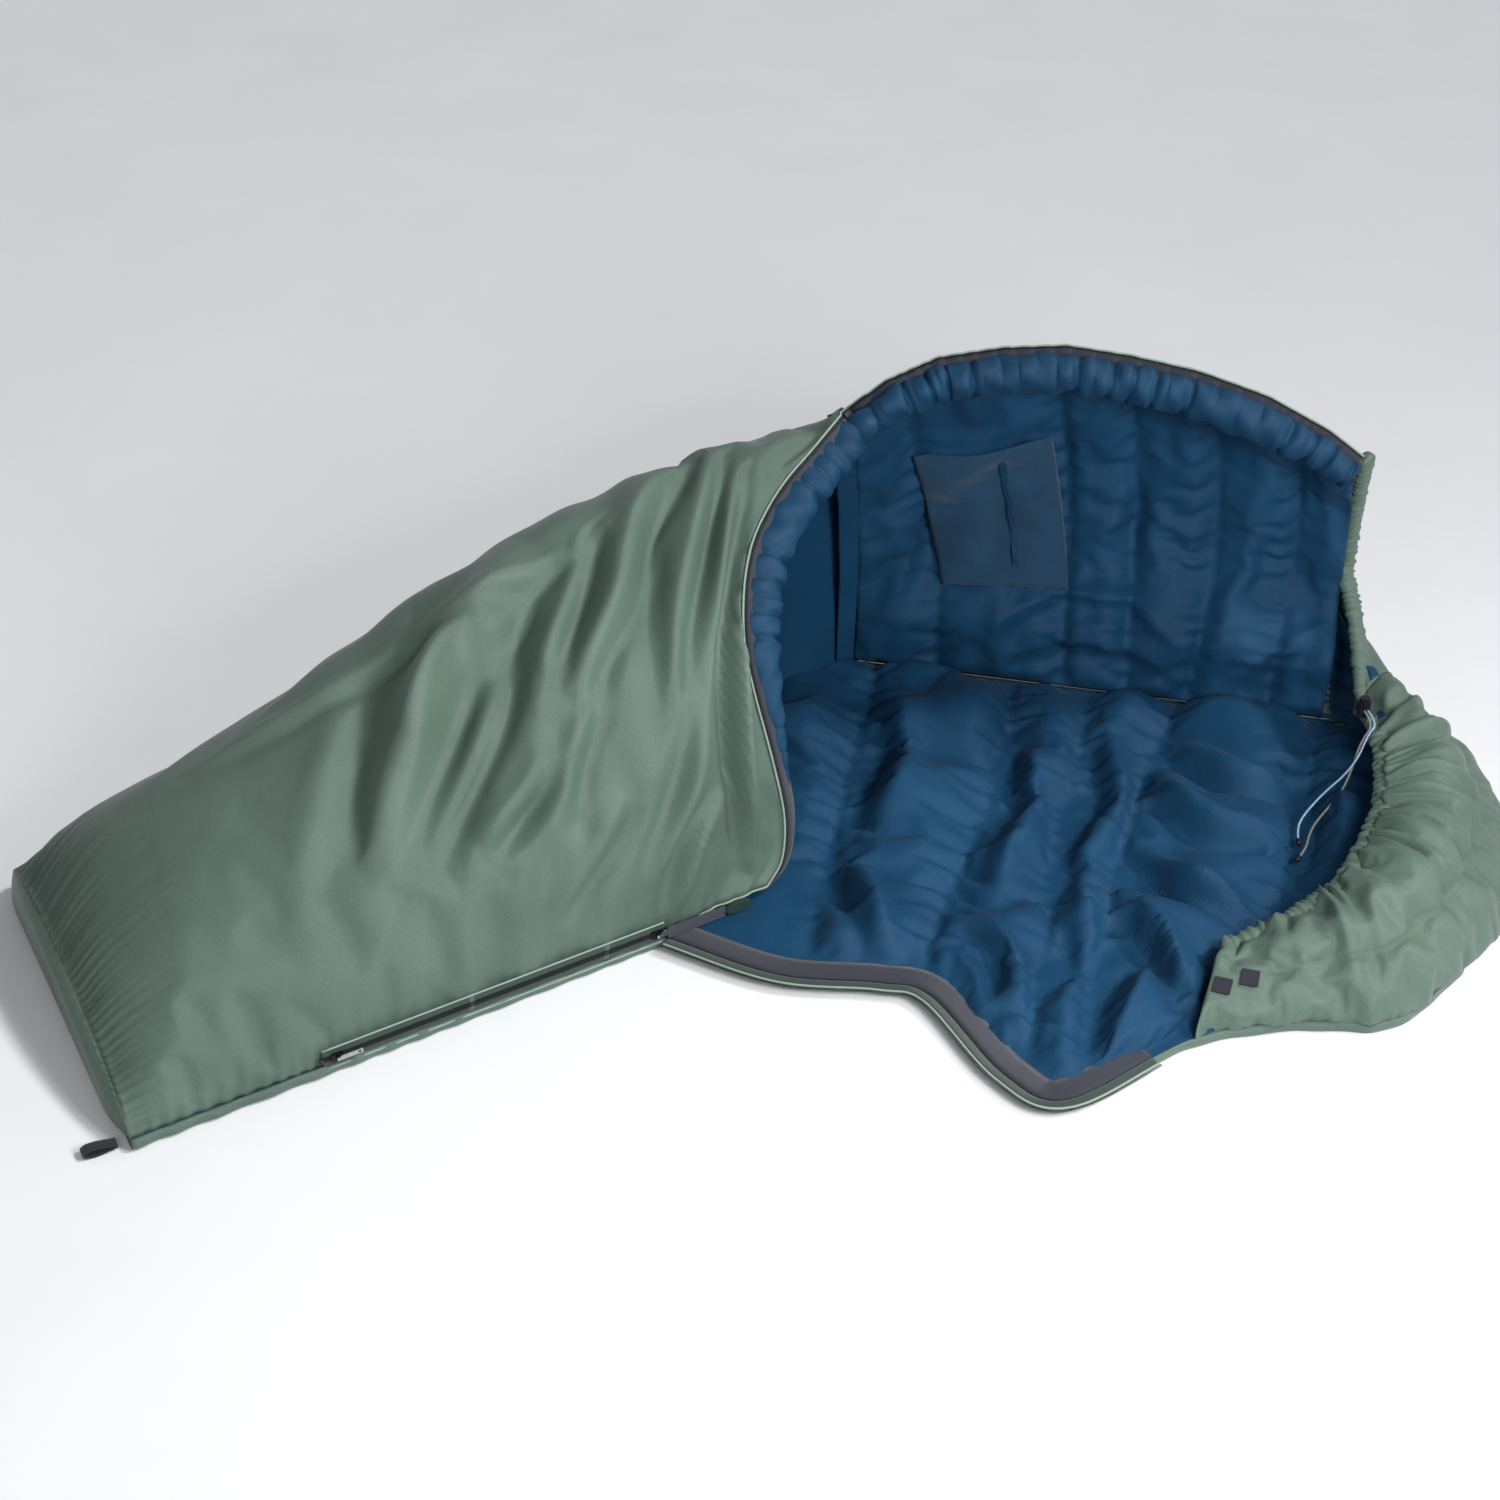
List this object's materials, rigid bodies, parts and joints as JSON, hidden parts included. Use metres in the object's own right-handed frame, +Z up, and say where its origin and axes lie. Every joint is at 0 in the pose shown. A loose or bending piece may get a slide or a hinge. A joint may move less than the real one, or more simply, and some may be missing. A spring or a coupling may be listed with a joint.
{
  "type": "mummy sleeping bag",
  "caption": "Mummy sleeping bag lying open on the floor: closed leg tube, top layer folded up and back, drawcord hood, side zip with sliders that run both ways.",
  "frame": {"origin": "on the floor under the middle of the mouth, where the closed leg tube ends and the open part starts", "axes": "+X along the fold of the raised top layer towards the hood, +Y to the far side away from the zip, +Z up"},
  "size_m": [2.0821, 1.4045, 0.6386],
  "materials": {
    "shell_fabric": "satin woven ripstop polyester, sage green",
    "lining_fabric": "soft woven polyester, petrol blue",
    "insulation": "white synthetic fibre wadding",
    "strip_fabric": "stiff charcoal woven tape",
    "pocket_fleece": "brushed fleece, petrol blue",
    "zip_tape": "woven zip tape, black",
    "zip_coil": "coiled nylon monofilament, black",
    "slider_metal": "black lacquered zinc",
    "puller_metal": "tumbled zinc, grey",
    "webbing": "woven webbing, charcoal",
    "grip_rubber": "moulded rubber, dark green",
    "hook_and_loop": "hook-and-loop tape, dark grey",
    "hood_cord_braid": "braided elastic cord, light blue",
    "collar_cord_braid": "braided elastic cord, grey-brown",
    "lock_plastic": "moulded acetal, black",
    "spring_steel": "wire spring"
  },
  "bodies": {
    "root": {"leg_top_shell": "shell_fabric", "leg_top_fill_foot": "insulation", "leg_top_fill_knee": "insulation", "leg_top_fill_thigh": "insulation", "leg_top_lining": "lining_fabric", "hood_shell": "shell_fabric", "hood_fill_near": "insulation", "hood_fill_crown": "insulation", "hood_fill_far": "insulation", "hood_lining": "lining_fabric", "hood_casing": "shell_fabric", "hood_drawcord": "hood_cord_braid", "bottom_shell": "shell_fabric", "bottom_fill": "insulation", "bottom_lining": "lining_fabric", "foot_panel_lining": "lining_fabric", "foot_panel_fill": "insulation", "foot_panel_shell": "shell_fabric", "mouth_draft_tube": "lining_fabric", "mouth_anti_snag_strip": "strip_fabric", "bottom_anti_snag_strip": "strip_fabric", "open_zip_tape_bottom": "zip_tape", "open_zip_coil_bottom": "zip_coil", "zip_tape_top": "zip_tape", "zip_tape_bottom": "zip_tape", "zip_coil_top": "zip_coil", "zip_coil_bottom": "zip_coil", "zip_end_stop": "zip_coil", "hook_square": "hook_and_loop", "loop_square": "hook_and_loop", "foot_loop": "webbing", "hood_cord": "hood_cord_braid", "hood_cord_end": "lock_plastic", "collar_cord": "collar_cord_braid", "collar_cord_end": "lock_plastic", "cord_anchor_tab": "webbing"},
    "flap": {"flap_shell": "shell_fabric", "flap_fill_waist": "insulation", "flap_fill_chest": "insulation", "flap_fill_shoulder": "insulation", "flap_lining": "lining_fabric", "flap_anti_snag_strip": "strip_fabric", "flap_draft_tube": "lining_fabric", "pocket_panel": "pocket_fleece", "pocket_mouth_facing": "pocket_fleece", "neck_casing": "shell_fabric", "open_zip_tape_flap": "zip_tape", "open_zip_coil_flap": "zip_coil"},
    "lower_slider": {"lower_slider": "slider_metal"},
    "lower_puller": {"lower_puller": "puller_metal"},
    "main_slider": {"main_slider": "slider_metal"},
    "main_puller": {"main_puller_link": "slider_metal", "main_puller_strap": "webbing", "main_puller_grip": "grip_rubber"},
    "cord_lock": {"cord_lock_body": "lock_plastic", "cord_lock_spring": "spring_steel"},
    "lock_plunger": {"cord_lock_plunger": "lock_plastic"}
  },
  "joints": [
    {"name": "flap_fold", "type": "hinge", "parent": "root", "child": "flap", "pos_m": [0.3, 0.3225, 0.024], "axis": [1, 0, 0], "range_deg": [0, 66]},
    {"name": "lower_slider_run", "type": "slide", "parent": "root", "child": "lower_slider", "axis": [0.7129, 0.7013, 0], "range_m": [0, 0.12]},
    {"name": "lower_pull_turn", "type": "hinge", "parent": "lower_slider", "child": "lower_puller", "pos_m": [-0.46118, -0.76748, 0.028], "axis": [0, 0, -1], "range_deg": [0, 165]},
    {"name": "main_slider_run", "type": "slide", "parent": "root", "child": "main_slider", "axis": [0.7129, 0.7013, 0], "range_m": [-0.25, 0]},
    {"name": "main_pull_turn", "type": "hinge", "parent": "main_slider", "child": "main_puller", "pos_m": [-0.12059, -0.43244, 0.028], "axis": [0, 0, -1], "range_deg": [0, 165]},
    {"name": "cord_lock_run", "type": "slide", "parent": "root", "child": "cord_lock", "axis": [0.5, -0.866, 0], "range_m": [0, 0.01]},
    {"name": "lock_plunger_press", "type": "slide", "parent": "cord_lock", "child": "lock_plunger", "axis": [0, 0, -1], "range_m": [0, 0.004], "stiffness_N_per_m": 600, "springref_m": -0.004, "deforming": ["cord_lock_spring"]}
  ]
}
